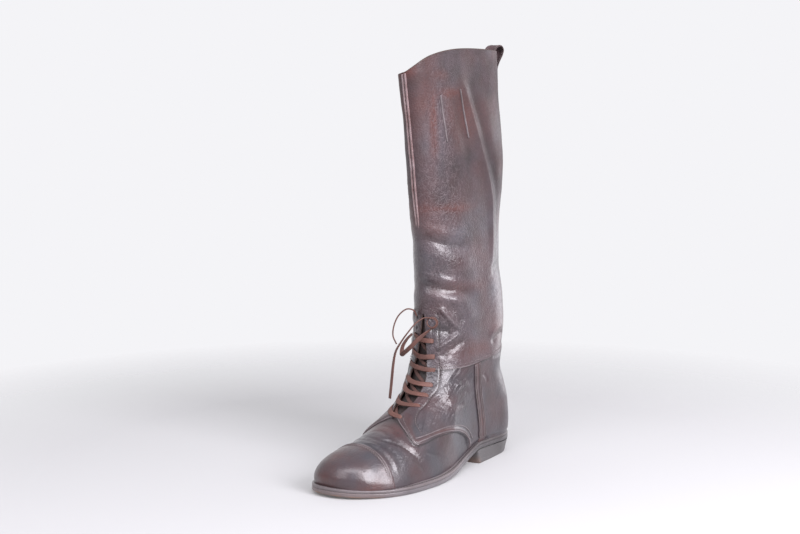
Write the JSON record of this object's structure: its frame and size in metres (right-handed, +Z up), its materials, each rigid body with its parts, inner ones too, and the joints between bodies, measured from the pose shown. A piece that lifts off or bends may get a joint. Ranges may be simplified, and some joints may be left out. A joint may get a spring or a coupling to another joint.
{
  "type": "officer boot",
  "caption": "Tall brown leather left officer boot with a laced instep, toe cap, heel counter, leather sole, low stacked heel and a pull loop at the collar",
  "frame": {"origin": "on the floor under the middle of the boot's box, without the free lace ends", "axes": "+Z up the leg, -Y to the toe, +X to the outer (lateral) side of this left boot"},
  "size_m": [0.106, 0.2984, 0.464],
  "materials": {
    "upper_leather": "polished, worn",
    "shaft_leather": "polished, worn",
    "tongue_leather": "dull",
    "sole_leather": "edge-dressed, worn",
    "heel_leather": "edge-dressed, worn",
    "lining_leather": "dull, napped",
    "lace_leather": "dull"
  },
  "bodies": {
    "root": {"outsole": "sole_leather", "heel": "heel_leather", "welt": "sole_leather", "insole": "lining_leather", "upper": "upper_leather", "shaft": "shaft_leather", "tongue": "tongue_leather", "toe_cap": "upper_leather", "heel_counter": "upper_leather", "side_strap_lateral": "upper_leather", "side_strap_medial": "upper_leather", "lace_bars": "lace_leather", "lace_end_long": "lace_leather", "lace_end_short": "lace_leather", "pull_loop": "shaft_leather"}
  },
  "joints": []
}
